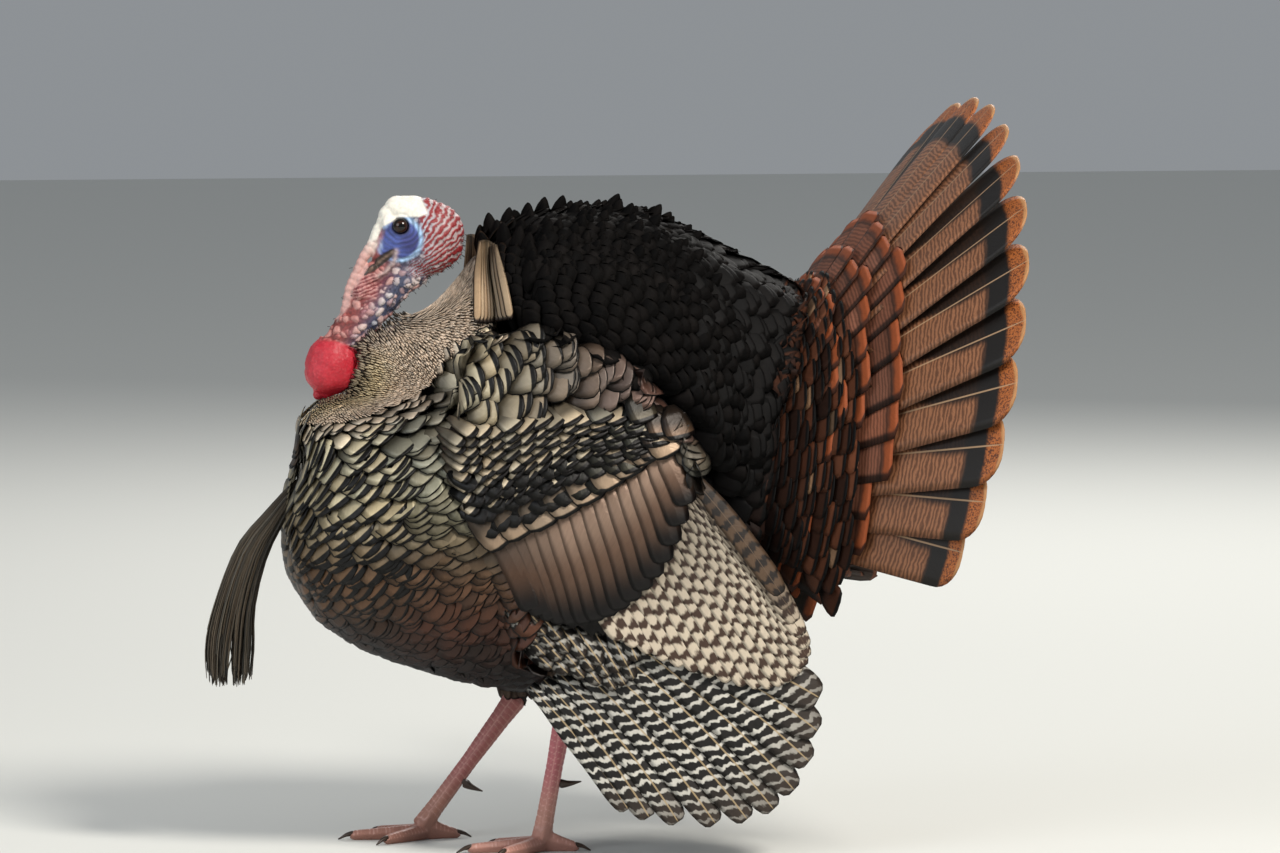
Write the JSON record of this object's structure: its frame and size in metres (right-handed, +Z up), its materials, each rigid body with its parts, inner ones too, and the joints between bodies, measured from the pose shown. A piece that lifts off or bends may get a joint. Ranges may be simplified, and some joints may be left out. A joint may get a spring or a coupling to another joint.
{
  "type": "wild turkey figure",
  "caption": "Adult male wild turkey strutting: tail fanned, back feathers raised, wings drooped, a beard on the breast, in mid stride on spread toes; still figure.",
  "frame": {"origin": "on the floor under the centre of the bird's box, so z = 0 is the floor that the toes stand on", "axes": "-X is the way the bird faces, -Y is its left side, +Z is up"},
  "size_m": [0.8354, 0.6912, 0.7823],
  "materials": {
    "bare_skin": "matte",
    "caruncle": "satin",
    "beak": "satin",
    "eye": "gloss",
    "neck_feather": "matte",
    "breast_feather": "satin",
    "thigh_feather": "matte",
    "black_feather": "matte",
    "wing_covert": "satin",
    "secondary": "matte",
    "primary": "matte",
    "tail_feather": "matte",
    "tail_covert": "matte",
    "beard": "satin",
    "leg": "matte",
    "horn": "satin"
  },
  "bodies": {
    "root": {"eye_left": "eye", "eye_right": "eye", "head": "bare_skin", "beak_upper": "beak", "beak_lower": "beak", "snood": "bare_skin", "neck_upper": "bare_skin", "caruncles": "caruncle", "neck_lower": "neck_feather", "breast": "breast_feather", "trunk": "black_feather", "beard": "beard", "wing_left": "wing_covert", "wing_left_secondaries": "secondary", "wing_left_primaries": "primary", "wing_right": "wing_covert", "wing_right_secondaries": "secondary", "wing_right_primaries": "primary", "tail_feather_01": "tail_feather", "tail_feather_02": "tail_feather", "tail_feather_03": "tail_feather", "tail_feather_04": "tail_feather", "tail_feather_05": "tail_feather", "tail_feather_06": "tail_feather", "tail_feather_07": "tail_feather", "tail_feather_08": "tail_feather", "tail_feather_09": "tail_feather", "tail_feather_10": "tail_feather", "tail_feather_11": "tail_feather", "tail_feather_12": "tail_feather", "tail_feather_13": "tail_feather", "tail_feather_14": "tail_feather", "tail_feather_15": "tail_feather", "tail_feather_16": "tail_feather", "tail_feather_17": "tail_feather", "tail_feather_18": "tail_feather", "tail_coverts": "tail_covert", "undertail_coverts": "tail_covert", "mantle": "black_feather", "rump": "black_feather", "foot_left": "leg", "claw_left_middle": "horn", "claw_left_inner": "horn", "claw_left_outer": "horn", "claw_left_hind": "horn", "shank_left": "leg", "spur_left": "horn", "thigh_left": "thigh_feather", "foot_right": "leg", "claw_right_middle": "horn", "claw_right_inner": "horn", "claw_right_outer": "horn", "claw_right_hind": "horn", "shank_right": "leg", "spur_right": "horn", "thigh_right": "thigh_feather"}
  },
  "joints": []
}
